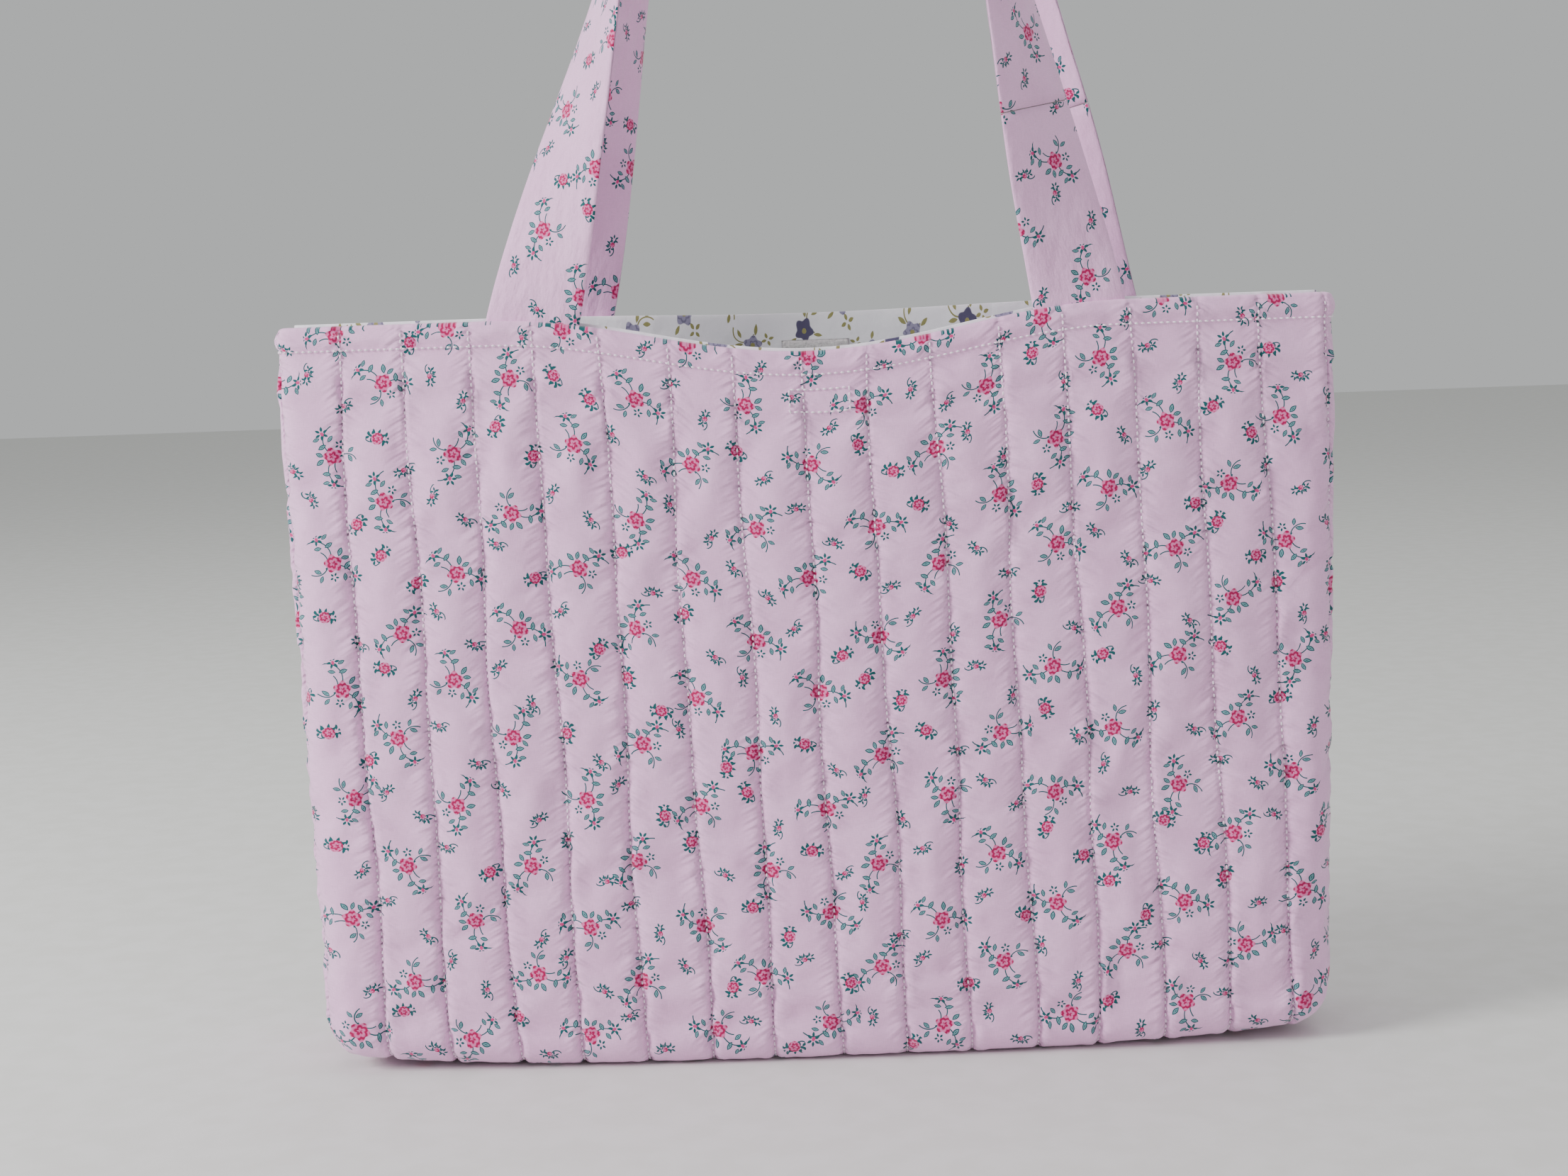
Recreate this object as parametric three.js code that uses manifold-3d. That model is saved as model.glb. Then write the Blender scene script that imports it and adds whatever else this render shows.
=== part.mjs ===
// Quilted fabric tote for knitting: a printed cotton outer, wadding and a cotton lining, each made of a
// front half and a back half sewn at the sides and under the base, with two turned strap handles.
// Millimetres, +Z up, +X to the right of the front, the front faces -Y. The bag stands on its base at z = 0.
import * as THREE from 'three';
import { mergeVertices } from 'three/addons/utils/BufferGeometryUtils.js';
import Module from 'manifold-3d';

const wasm = await Module();
wasm.setup();

// ---- Driving dimensions ----
const SEWN_GAP = 0.3; // clearance kept between neighbouring pieces

const BAG = {
  height: 290,
  baseHalfWidth: 195,
  rimHalfWidth: 205,
  baseHalfDepth: 38, // half depth in the middle of the panels
  rimHalfDepth: 24,
  baseSideHalfDepth: 35, // half depth at the side walls
  rimSideHalfDepth: 12,
  sideCornerRadius: 9,
  baseEdgeRadius: 10,
  leastCornerRadius: 2, // the inner layers turn the side corners at least this gently
  cornerShare: 0.7, // a side corner takes up at most this part of the side's half depth
  leastEdgeRadius: 3,
};

const RIM_SAG = { front: 15.5, back: 2, halfSpan: 115 }; // dip of the rim between the handles

// Each layer of the wall lies between two insets from the outer surface.
const OUTER = { from: 0, to: 1.2 };
const WADDING = { from: OUTER.to + SEWN_GAP, to: 5.5 };
const LINING = { from: WADDING.to + SEWN_GAP, to: 6.8 };
const HEM_THICKNESS = 2; // outer fabric turned in over the top of the wadding
const LINING_SHOW = 1; // how far the lining stands above the outer rim

const STRAP = {
  width: 36,
  thickness: 3.6,
  fabric: 0.9, // folded cover around the interfacing
  halfSpacing: 105,
  lean: THREE.MathUtils.degToRad(12.7), // legs lean towards each other
  archRadius: 50,
  baseTurn: THREE.MathUtils.degToRad(4), // the ends follow the bowed panel
  peakY: 19.6, // distance of the arch from the middle plane
  rimGap: 0.6,
  joinFromRim: 75, // cross seam between the two lengths of fabric
  backShift: 10, // the back handle is sewn a little further to the right
};
// The strap end sewn in between the outer and the lining, and the slot that it has in the outer's turned-in edge.
const TAIL = { length: 26, from: 2, to: 4.6, aboveRim: 0.2, slotDepth: 6 };
// The interfacing lies this many times further from the strap's edges than from its faces.
const CORE_SIDE_ROOM = 1.5;

const PATCH = { width: 27, height: 13, thickness: 1.6, shift: 4, belowRim: 14 };

const PANEL_STEPS = 14;
const CORNER_STEPS = 2;
const WALL_STEPS = 5;
const BASE_EDGE_STEPS = 3;
const HANDLE_STEPS = 44;

const FRONT = -1;
const BACK = 1;
const FAR = 400; // reach of a cutting block past the whole bag
const PAST = 10; // run of a cutting solid past the piece that it cuts

// ---- Materials ----
function cloth(color, roughness) {
  return new THREE.MeshStandardMaterial({ color, roughness, metalness: 0 });
}
const printedPink = cloth(0xdcc4cf, 0.9);
const printedPinkStrap = cloth(0xd9bfcc, 0.9);
const whiteWadding = cloth(0xf2f0ea, 1);
const whiteLining = cloth(0xeeeeec, 0.9);
const interfacing = cloth(0xf7f6f2, 0.95);
const hookTape = cloth(0xf0f0f0, 0.6);
const loopTape = cloth(0xe8e8e6, 0.95);

// ---- Solids ----

// A closed solid through rings with the same even number of points. Point i and point (count - i) of a ring
// face each other, so both ends close with a strip between the two halves of the ring.
function ringSolid(rings) {
  const count = rings[0].length;
  const positions = rings.flat().flatMap((point) => [point.x, point.y, point.z]);
  const index = [];
  for (let ring = 0; ring + 1 < rings.length; ring++) {
    for (let i = 0; i < count; i++) {
      const a = ring * count + i;
      const b = ring * count + ((i + 1) % count);
      index.push(a, b, b + count, a, b + count, a + count);
    }
  }
  const closeEnd = (start, flip) => {
    for (let i = 0; i < count / 2; i++) {
      const near = start + i;
      const nearNext = start + i + 1;
      const far = start + ((count - i) % count);
      const farNext = start + count - i - 1;
      const faces = [[near, far, farNext], [near, farNext, nearNext]];
      for (const face of faces) {
        if (new Set(face).size === 3) index.push(...(flip ? face.reverse() : face));
      }
    }
  };
  closeEnd(0, false);
  closeEnd((rings.length - 1) * count, true);
  const geometry = new THREE.BufferGeometry();
  geometry.setAttribute('position', new THREE.Float32BufferAttribute(positions, 3));
  geometry.setIndex(index);
  return toManifold(geometry);
}

function toManifold(geometry) {
  const plain = geometry.clone();
  plain.deleteAttribute('normal');
  plain.deleteAttribute('uv');
  const merged = mergeVertices(plain);
  const vertProperties = new Float32Array(merged.attributes.position.array);
  const triVerts = new Uint32Array(merged.index.array);
  return new wasm.Manifold(new wasm.Mesh({ numProp: 3, vertProperties, triVerts }));
}

function toMesh(name, solid, material) {
  const result = solid.getMesh();
  const geometry = new THREE.BufferGeometry();
  geometry.setAttribute('position', new THREE.Float32BufferAttribute(result.vertProperties, 3));
  geometry.setIndex(Array.from(result.triVerts));
  geometry.computeVertexNormals();
  const mesh = new THREE.Mesh(geometry, material);
  mesh.name = name;
  return mesh;
}

// A block given by its low and high corners.
function block(low, high) {
  const size = new THREE.Vector3().subVectors(high, low);
  const middle = new THREE.Vector3().addVectors(low, high).multiplyScalar(0.5);
  const box = new THREE.BoxGeometry(size.x, size.y, size.z);
  box.translate(middle.x, middle.y, middle.z);
  return toManifold(box);
}

// ---- The bag's body ----
const lerp = THREE.MathUtils.lerp;

function rimHeight(side, x) {
  const sag = side === FRONT ? RIM_SAG.front : RIM_SAG.back;
  const reach = Math.min(Math.abs(x) / RIM_SAG.halfSpan, 1);
  return BAG.height - sag * Math.cos((reach * Math.PI) / 2) ** 2;
}

// Half widths and depths of the horizontal section at a nominal height, inset from the outer surface.
function sectionSize(nominal, inset) {
  const t = nominal / BAG.height;
  const sideDepth = lerp(BAG.baseSideHalfDepth, BAG.rimSideHalfDepth, t) - inset;
  return {
    halfWidth: lerp(BAG.baseHalfWidth, BAG.rimHalfWidth, t) - inset,
    middleDepth: lerp(BAG.baseHalfDepth, BAG.rimHalfDepth, t) - inset,
    sideDepth,
    radius: Math.min(Math.max(BAG.sideCornerRadius - inset, BAG.leastCornerRadius), sideDepth * BAG.cornerShare),
  };
}

// Depth of a bowed panel at x: deepest in the middle, shallowest at the side walls.
function panelDepth(size, x) {
  const reach = x / (size.halfWidth - size.radius);
  return size.sideDepth + (size.middleDepth - size.sideDepth) * (1 - reach * reach);
}

// The section's front half as (x, depth) pairs from the left side seam to the right one.
function halfSection(size) {
  const left = [new THREE.Vector2(-size.halfWidth, 0)];
  for (let i = 0; i <= CORNER_STEPS; i++) {
    const angle = (i / CORNER_STEPS) * (Math.PI / 2);
    const x = -size.halfWidth + size.radius * (1 - Math.cos(angle));
    const depth = size.sideDepth - size.radius * (1 - Math.sin(angle));
    left.push(new THREE.Vector2(x, depth));
  }
  const right = left.map((point) => new THREE.Vector2(-point.x, point.y)).reverse();
  const panel = [];
  const reach = size.halfWidth - size.radius;
  for (let i = 1; i < PANEL_STEPS; i++) {
    const x = lerp(-reach, reach, i / PANEL_STEPS);
    panel.push(new THREE.Vector2(x, panelDepth(size, x)));
  }
  return [...left, ...panel, ...right];
}

// Heights follow the rim, so the dip between the handles fades out towards the base.
function heightAt(side, x, nominal) {
  const rise = Math.max(nominal - BAG.baseEdgeRadius, 0) / (BAG.height - BAG.baseEdgeRadius);
  return nominal + (rimHeight(side, x) - BAG.height) * rise;
}

function bodyRing(nominal, inset, fixedHeight) {
  const half = halfSection(sectionSize(nominal, inset));
  const place = (side) => (point) => {
    const height = fixedHeight ?? heightAt(side, point.x, nominal);
    return new THREE.Vector3(point.x, side * point.y, height);
  };
  const front = half.map(place(FRONT));
  const back = half.map(place(BACK)).slice(1, -1).reverse();
  return [...front, ...back];
}

// The whole space inside the surface at one inset, up to a height above or below the rim.
function bodySolid(inset, aboveRim) {
  const edgeRadius = Math.max(BAG.baseEdgeRadius - inset, BAG.leastEdgeRadius);
  const rings = [];
  for (let i = 0; i < BASE_EDGE_STEPS; i++) {
    const angle = (i / BASE_EDGE_STEPS) * (Math.PI / 2);
    const height = inset + edgeRadius * (1 - Math.cos(angle));
    rings.push(bodyRing(height, inset + edgeRadius * (1 - Math.sin(angle)), height));
  }
  const wallStart = inset + edgeRadius;
  const wallTop = BAG.height + Math.min(aboveRim, 0);
  for (let i = 0; i <= WALL_STEPS; i++) {
    rings.push(bodyRing(lerp(wallStart, wallTop, i / WALL_STEPS), inset));
  }
  if (aboveRim > 0) rings.push(bodyRing(BAG.height + aboveRim, inset));
  return ringSolid(rings);
}

// A layer of the wall between two insets, open at the top.
function layer({ from, to }, aboveRim) {
  return bodySolid(from, aboveRim).subtract(bodySolid(to, PAST));
}

// One sewn half of the bag: the front half or the back half, up to the side seams and the base seam.
function halfOf(solid, side) {
  const near = SEWN_GAP / 2;
  const low = new THREE.Vector3(-FAR, side === FRONT ? -FAR : near, -FAR);
  const high = new THREE.Vector3(FAR, side === FRONT ? -near : FAR, FAR);
  return solid.intersect(block(low, high));
}

// The places along the rim where a handle's two ends are sewn in.
function strapEnds(side) {
  const shift = side === BACK ? STRAP.backShift : 0;
  return [shift - STRAP.halfSpacing, shift + STRAP.halfSpacing];
}

// A column over one strap end, from below the rim to above it.
function strapColumn(side, centre, halfWidth, below, above) {
  const low = new THREE.Vector3(centre - halfWidth, side === FRONT ? -FAR : 0, BAG.height - below);
  const high = new THREE.Vector3(centre + halfWidth, side === FRONT ? 0 : FAR, BAG.height + above);
  return block(low, high);
}

// The outer, with its top edge turned in over the wadding and a slot in that edge for each strap end.
function outerHalf(side) {
  const hollow = bodySolid(OUTER.to, -HEM_THICKNESS);
  const mouth = bodySolid(WADDING.to, PAST);
  let half = halfOf(bodySolid(0, 0).subtract(hollow).subtract(mouth), side);
  const slotLayer = layer({ from: TAIL.from - SEWN_GAP, to: TAIL.to + SEWN_GAP }, PAST);
  for (const centre of strapEnds(side)) {
    const column = strapColumn(side, centre, STRAP.width / 2 + SEWN_GAP, TAIL.slotDepth, PAST);
    half = half.subtract(slotLayer.intersect(column));
  }
  return half;
}

// The wadding stops under the turned-in edge and is trimmed away around each strap end.
function waddingHalf(side) {
  let half = halfOf(layer(WADDING, -HEM_THICKNESS - SEWN_GAP), side);
  for (const centre of strapEnds(side)) {
    half = half.subtract(strapColumn(side, centre, STRAP.width / 2 + SEWN_GAP, TAIL.length + SEWN_GAP, PAST));
  }
  return half;
}

// ---- The handles ----
function strapTail(side, centre) {
  const column = strapColumn(side, centre, STRAP.width / 2 - SEWN_GAP, TAIL.length, PAST);
  return layer(TAIL, TAIL.aboveRim).intersect(column);
}

// Depth of the strap's middle line where it leaves the rim.
function strapRimDepth(x) {
  return panelDepth(sectionSize(BAG.height, (TAIL.from + TAIL.to) / 2), x);
}

// The middle line is two leaning legs and the arch that joins them.
const LEG_LENGTH = (STRAP.halfSpacing - STRAP.archRadius * Math.cos(STRAP.lean)) / Math.sin(STRAP.lean);
const HANDLE_LENGTH = 2 * (LEG_LENGTH + STRAP.archRadius * (Math.PI / 2 - STRAP.lean));
const ARCH_CENTRE = LEG_LENGTH * Math.cos(STRAP.lean) - STRAP.archRadius * Math.sin(STRAP.lean);

// Place and direction on the middle line, in the handle's own plane, at a length from its left end.
function handleLine(length) {
  const fromEnd = Math.min(length, HANDLE_LENGTH - length);
  const mirror = length > HANDLE_LENGTH / 2 ? -1 : 1;
  const onLeg = fromEnd <= LEG_LENGTH;
  const angle = onLeg ? STRAP.lean : STRAP.lean + (fromEnd - LEG_LENGTH) / STRAP.archRadius;
  const along = new THREE.Vector2(Math.sin(angle), mirror * Math.cos(angle));
  const place = onLeg
    ? new THREE.Vector2(fromEnd * Math.sin(angle) - STRAP.halfSpacing, fromEnd * Math.cos(angle))
    : new THREE.Vector2(-STRAP.archRadius * Math.cos(angle), ARCH_CENTRE + STRAP.archRadius * Math.sin(angle));
  place.x *= mirror;
  return { place, along };
}

// One flat six-sided ring of the strap. Its face looks away from the bag at both ends and turns outward
// on the way up, so that the strap lies flat over the top of the arch.
function strapRing(side, length, halfWidth, halfThickness) {
  const { place, along } = handleLine(length);
  const fromEnd = Math.max(Math.min(length, HANDLE_LENGTH - length), 0);
  const progress = Math.sin((Math.PI * fromEnd) / HANDLE_LENGTH);
  const turn = lerp(STRAP.baseTurn, Math.PI / 2, progress);
  const direction = new THREE.Vector3(along.x, 0, along.y);
  const face = new THREE.Vector3(-along.y * Math.sin(turn), side * Math.cos(turn), along.x * Math.sin(turn));
  const across = new THREE.Vector3().crossVectors(direction, face);
  const [left, right] = strapEnds(side);
  const shift = (left + right) / 2;
  const depth = lerp(strapRimDepth(length < HANDLE_LENGTH / 2 ? left : right), STRAP.peakY, progress);
  const centre = new THREE.Vector3(place.x + shift, side * depth, BAG.height + place.y);
  const flat = halfWidth - halfThickness;
  const outline = [[-halfWidth, 0], [-flat, 1], [flat, 1], [halfWidth, 0], [flat, -1], [-flat, -1]];
  const corner = ([w, h]) => centre.clone().addScaledVector(across, w).addScaledVector(face, h * halfThickness);
  return outline.map(corner);
}

// The space inside a flat strap of one size, all along the handle, trimmed level just above the rim.
function strapSolid(side, halfWidth, halfThickness) {
  const rings = [];
  for (let i = 0; i <= HANDLE_STEPS; i++) {
    const length = lerp(-PAST, HANDLE_LENGTH + PAST, i / HANDLE_STEPS);
    rings.push(strapRing(side, length, halfWidth, halfThickness));
  }
  const low = new THREE.Vector3(-FAR, -FAR, BAG.height + STRAP.rimGap);
  const high = new THREE.Vector3(FAR, FAR, 2 * FAR);
  return ringSolid(rings).intersect(block(low, high));
}

// The turned fabric: a flat tube, open at both ends, in two lengths that meet at a cross seam.
function strapCover(side) {
  const halfWidth = STRAP.width / 2;
  const halfThickness = STRAP.thickness / 2;
  const inside = strapSolid(side, halfWidth - STRAP.fabric, halfThickness - STRAP.fabric);
  const cover = strapSolid(side, halfWidth, halfThickness).subtract(inside);
  const belowSeam = (gap) => {
    const low = new THREE.Vector3(0, -FAR, 0);
    return block(low, new THREE.Vector3(FAR, FAR, BAG.height + STRAP.joinFromRim + gap));
  };
  return {
    long: cover.subtract(belowSeam(SEWN_GAP / 2)),
    short: cover.intersect(belowSeam(-SEWN_GAP / 2)),
  };
}

function strapCore(side) {
  const trim = STRAP.fabric + SEWN_GAP;
  return strapSolid(side, STRAP.width / 2 - CORE_SIDE_ROOM * trim, STRAP.thickness / 2 - trim);
}

// ---- The closure ----
// A patch of hook or loop tape on the lining, tilted to the panel's slope.
function closurePatch(side) {
  const inset = LINING.to + SEWN_GAP + PATCH.thickness / 2;
  const nominal = BAG.height - PATCH.belowRim;
  const rate = (BAG.baseHalfDepth - BAG.rimHalfDepth) / BAG.height;
  const depth = panelDepth(sectionSize(nominal, inset), PATCH.shift);
  const patch = new THREE.BoxGeometry(PATCH.width, PATCH.thickness, PATCH.height);
  patch.rotateX(side * Math.atan(rate));
  patch.translate(PATCH.shift, side * depth, rimHeight(side, PATCH.shift) - PATCH.belowRim);
  return toManifold(patch);
}

// ---- Assembly ----
const bag = new THREE.Group();
const add = (name, solid, material) => bag.add(toMesh(name, solid, material));

for (const [label, side] of [['front', FRONT], ['back', BACK]]) {
  add(`outer_${label}`, outerHalf(side), printedPink);
  add(`wadding_${label}`, waddingHalf(side), whiteWadding);
  add(`lining_${label}`, halfOf(layer(LINING, LINING_SHOW), side), whiteLining);

  const cover = strapCover(side);
  add(`handle_${label}_long`, cover.long, printedPinkStrap);
  add(`handle_${label}_short`, cover.short, printedPinkStrap);
  add(`handle_${label}_core`, strapCore(side), interfacing);

  const [left, right] = strapEnds(side);
  add(`strap_end_${label}_left`, strapTail(side, left), printedPinkStrap);
  add(`strap_end_${label}_right`, strapTail(side, right), printedPinkStrap);
}
add('closure_hook_patch', closurePatch(FRONT), hookTape);
add('closure_loop_patch', closurePatch(BACK), loopTape);

export default bag;
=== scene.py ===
"""A quilted knitting bag, dressed over its CAD frame. Metres, +Z up, +X to the right, the front faces -Y."""
import math

import bmesh
import bpy
import numpy as np
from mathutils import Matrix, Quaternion, Vector, noise


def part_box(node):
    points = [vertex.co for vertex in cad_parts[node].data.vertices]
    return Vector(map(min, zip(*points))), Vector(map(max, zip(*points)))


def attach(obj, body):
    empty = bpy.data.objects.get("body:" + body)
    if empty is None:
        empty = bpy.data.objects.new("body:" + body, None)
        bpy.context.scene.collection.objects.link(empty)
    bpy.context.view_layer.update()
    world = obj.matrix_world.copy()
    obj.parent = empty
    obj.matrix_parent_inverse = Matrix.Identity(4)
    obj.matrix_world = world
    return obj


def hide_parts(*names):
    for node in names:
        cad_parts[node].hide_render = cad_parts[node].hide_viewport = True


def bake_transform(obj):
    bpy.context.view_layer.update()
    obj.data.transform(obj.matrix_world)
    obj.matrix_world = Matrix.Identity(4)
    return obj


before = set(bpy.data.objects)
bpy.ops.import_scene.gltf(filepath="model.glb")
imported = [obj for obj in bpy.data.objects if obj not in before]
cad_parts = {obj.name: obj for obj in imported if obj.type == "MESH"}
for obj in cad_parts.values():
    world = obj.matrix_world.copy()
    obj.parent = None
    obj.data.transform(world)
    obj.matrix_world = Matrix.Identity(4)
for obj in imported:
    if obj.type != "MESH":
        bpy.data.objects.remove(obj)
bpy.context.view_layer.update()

# ---- Driving dimensions ----
MM = 0.001
FRONT, BACK = -1, 1
SIDES = {FRONT: "front", BACK: "back"}

_, OUTER_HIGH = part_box("outer_front")
RIM_HALF_WIDTH = OUTER_HIGH.x
BAG_HEIGHT = OUTER_HIGH.z
BASE_HALF_WIDTH = 195 * MM
BASE_HALF_DEPTH = 38 * MM
RIM_HALF_DEPTH = 24 * MM
BASE_SIDE_HALF_DEPTH = 35 * MM
RIM_SIDE_HALF_DEPTH = 12 * MM
BASE_CORNER_RADIUS = 14 * MM
RIM_CORNER_RADIUS = 7 * MM
EDGE_RADIUS = 12 * MM  # where the walls turn under the base
SEAM_GAP = 0.15 * MM
RIM_DIP = {FRONT: 15.5 * MM, BACK: 2 * MM}  # sag of the rim between the handles
RIM_DIP_HALF_SPAN = 122 * MM
CORNER_LIFT = 8 * MM  # the base corners stand a little off the surface

LINE_SPACING = 25.4 * MM
FIRST_LINE = -206.4 * MM
LINE_COUNT = 17
LINE_SLANT = 8 * MM  # how far a quilting line drifts from the rim to the base
HEM = 8 * MM

OUTER_INSIDE = 1.2 * MM
HEM_INSIDE = 5.4 * MM
LINING_OUTSIDE = 5.8 * MM
LINING_INSIDE = 6.8 * MM
LINING_SHOW = 2.2 * MM

STRAP_WIDTH = 36 * MM
STRAP_THICKNESS = 3.4 * MM
STRAP_SPACING = 105 * MM  # half the distance between a handle's two ends
STRAP_LEAN = math.radians(12.7)
ARCH_RADIUS = 50 * MM
STRAP_BASE_TURN = math.radians(4)
STRAP_EARLY_TURN = {"left": 0.5, "right": 0.1}  # how much of its turn each leg takes near its end
STRAP_BOW = 5 * MM  # the front handle's left leg bows in towards the right one
STRAP_DRIFT = math.tan(math.radians(1))  # the whole handle tilts a little to the right
STRAP_INSET = 3.3 * MM
STRAP_PEAK_Y = 19.6 * MM
STRAP_JOIN = 75 * MM  # height of the cross seam above the rim
STRAP_TAIL = 24 * MM
STRAP_SHIFT = {FRONT: 0.0, BACK: 10 * MM}

STITCH_LENGTH = 1.75 * MM
STITCH_PITCH = 2.5 * MM
PATCH_SHIFT = 4 * MM  # the closure sits a little right of the middle
PATCH_STITCHING = (23 * MM, 9 * MM)
PATCH_STITCHING_TOP = 14 * MM


def lerp(low, high, t):
    return low + (high - low) * t


def fade(value, start, end):
    """0 below start, 1 above end, smooth between."""
    t = np.clip((value - start) / (end - start), 0, 1)
    return t * t * (3 - 2 * t)


def waves(points, size, seed):
    """Smooth noise from -1 to 1 at each point, with features of about the given size."""
    shift = Vector((seed * 7.31, seed * 3.17, seed * 5.53))
    flat = points.reshape(-1, 3)
    values = [noise.noise(Vector(point) / size + shift) for point in flat]
    return np.array(values).reshape(points.shape[:-1])


# ---- The body's shape ----
def section(rise):
    """Half width, middle depth, side depth and corner radius. Rise is 0 at the base and 1 at the rim."""
    return (
        lerp(BASE_HALF_WIDTH, RIM_HALF_WIDTH, rise),
        lerp(BASE_HALF_DEPTH, RIM_HALF_DEPTH, rise),
        lerp(BASE_SIDE_HALF_DEPTH, RIM_SIDE_HALF_DEPTH, rise),
        lerp(BASE_CORNER_RADIUS, RIM_CORNER_RADIUS, rise),
    )


def seam_distance(rise):
    """Distance along the cloth from the middle of a panel to the side seam."""
    half_width, _, side, radius = section(rise)
    return half_width - radius + radius * math.pi / 2 + side - radius


def outline(across, rise):
    """x, depth and outward direction of the section, at distances along the cloth from the panel's middle."""
    half_width, middle, side, radius = section(rise)
    flat = half_width - radius
    along = np.abs(across)
    sign = np.sign(across)
    bend = np.clip((along - flat) / radius, 0, math.pi / 2)
    beyond = np.clip(along - flat - radius * math.pi / 2, 0, None)
    on_panel = np.minimum(along, flat)
    bow = (middle - side) * (1 - (on_panel / flat) ** 2)
    x = sign * (on_panel + radius * np.sin(bend))
    depth = side - radius * (1 - np.cos(bend)) - beyond + bow
    slope = np.where(along < flat, 2 * (middle - side) * on_panel / flat**2, 0)
    turn = np.maximum(bend, np.arctan(slope))
    return x, depth, sign * np.sin(turn), np.cos(turn)


def rim_dip(side, x):
    reach = np.minimum(np.abs(x) / RIM_DIP_HALF_SPAN, 1)
    return RIM_DIP[side] * np.cos(reach * math.pi / 2) ** 2


WALL = BAG_HEIGHT - EDGE_RADIUS
UNDER_START = WALL + EDGE_RADIUS * math.pi / 2
UNDER_LENGTH = BASE_HALF_DEPTH - EDGE_RADIUS


def cloth_row(side, across, down):
    """Points and outward directions on the bag's plain surface, a distance down the cloth from the rim."""
    turn = np.clip((down - WALL) / EDGE_RADIUS, 0, math.pi / 2)
    under = np.clip((down - UNDER_START) / UNDER_LENGTH, 0, 1)
    height = BAG_HEIGHT - down if down < WALL else EDGE_RADIUS * (1 - math.sin(turn))
    rise = height / BAG_HEIGHT
    x, depth, out_x, out_depth = outline(across, rise)
    pull = EDGE_RADIUS * (1 - math.cos(turn))
    x = x - out_x * pull
    depth = depth - out_depth * pull
    half_width, _, side_depth, _ = section(rise)
    spine = np.clip(x, side_depth - half_width, half_width - side_depth)
    x = lerp(x, lerp(spine, x, 0.1), under)
    depth = lerp(depth, SEAM_GAP + 0.02 * depth, under)
    wall_rise = max(height - EDGE_RADIUS, 0) / WALL
    lift = CORNER_LIFT * np.abs(x / RIM_HALF_WIDTH) ** 3 * (1 - rise) ** 2
    z = height - rim_dip(side, x) * wall_rise + lift
    points = np.stack([x, side * np.maximum(depth, SEAM_GAP), z + 0 * x], axis=-1)
    outward = np.stack([out_x * math.cos(turn), side * out_depth * math.cos(turn),
                        -math.sin(turn) + 0 * x], axis=-1)
    return points, outward


def line_position(index, rise, down):
    """Where a quilting line lies across the panel. A sewn line is never quite straight."""
    wander = 0.7 * MM * math.sin(down / (41 * MM) + index * 2.4)
    wander += 0.4 * MM * math.sin(down / (17 * MM) + index)
    return FIRST_LINE + index * LINE_SPACING + LINE_SLANT * (1 - rise) + wander


# Places of the mesh columns between two quilting lines, close together beside the lines.
CHANNEL_CELLS = (0, 0.035, 0.09, 0.17, 0.28, 0.4, 0.5, 0.6, 0.72, 0.83, 0.91, 0.965)


def columns(down):
    """Distances across the cloth of one row's mesh columns, and each one's place within its channel."""
    rise = max(BAG_HEIGHT - down, 0) / BAG_HEIGHT
    seam = seam_distance(rise)
    lines = [line_position(index, rise, down) for index in range(LINE_COUNT)]
    breaks = [-seam, *lines, seam]
    across, phase = [], []
    for low, high in zip(breaks, breaks[1:]):
        for cell in CHANNEL_CELLS:
            across.append(lerp(low, high, cell))
            phase.append(cell)
    return np.array(across + [seam]), np.array(phase + [0.0])


def row_places():
    """Distances down the cloth of the mesh rows, from the rim to the seam under the base."""
    hem = np.linspace(0, HEM, 6)
    wall = np.linspace(HEM, WALL, 88)[1:]
    edge = np.linspace(WALL, UNDER_START, 8)[1:]
    under = np.linspace(UNDER_START, UNDER_START + UNDER_LENGTH, 9)[1:]
    return np.concatenate([hem, wall, edge, under])


ROWS = row_places()
LINE_COLUMNS = [(index + 1) * len(CHANNEL_CELLS) for index in range(LINE_COUNT)]


def panel_grid(side):
    """The plain surface of one half: points, outward directions, channel phase and cloth coordinates."""
    points, outward, phase, cloth = [], [], [], []
    for down in ROWS:
        across, place = columns(down)
        row, direction = cloth_row(side, across, down)
        points.append(row)
        outward.append(direction)
        phase.append(place)
        cloth.append(np.stack([across, -down + 0 * across], axis=-1))
    return np.array(points), np.array(outward), np.array(phase), np.array(cloth)


# The two halves are cut from different parts of the printed cloth.
CUT_FROM = {FRONT: (0.0, 0.0), BACK: (640 * MM, 130 * MM)}


def keep_to_side(points, side):
    """Keeps a half's points off the plane where it meets the other half."""
    points[..., 1] = side * np.maximum(side * points[..., 1], SEAM_GAP)


def puff_height(points, phase, cloth, side):
    """How far the quilted cloth stands off the plain surface before it is inflated."""
    down = -cloth[..., 1]
    profile = np.clip(4 * phase * (1 - phase), 0, 1) ** 0.55
    low = fade(down, 0, BAG_HEIGHT)
    left = 1 - fade(points[..., 0] * -side, -150 * MM, 60 * MM) if side == FRONT else 0.6
    fullness = lerp(2.0, 3.4, np.clip(0.55 * low + 0.6 * left, 0, 1)) * MM
    below_hem = fade(down, HEM, HEM + 16 * MM)
    under_base = 1 - 0.5 * fade(down, WALL, UNDER_START)
    hem_roll = 1.1 * MM * np.sin(math.pi * np.clip(down / HEM, 0, 1))
    hem_crease = np.where(down < HEM, 0.35 * MM * profile, 0)
    return profile * fullness * below_hem * under_base + np.where(down < HEM, hem_roll, 0) + hem_crease


# ---- Cloth simulation ----
SIM_FRAMES = 20
SIM_CAP = 4 * MM  # the most that a point may move
SIM_PRESSURE = 3.5
SIM_SLACK = 0.012


def place_object(name, data):
    obj = bpy.data.objects.new(name, data)
    bpy.context.collection.objects.link(obj)
    return obj


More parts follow.
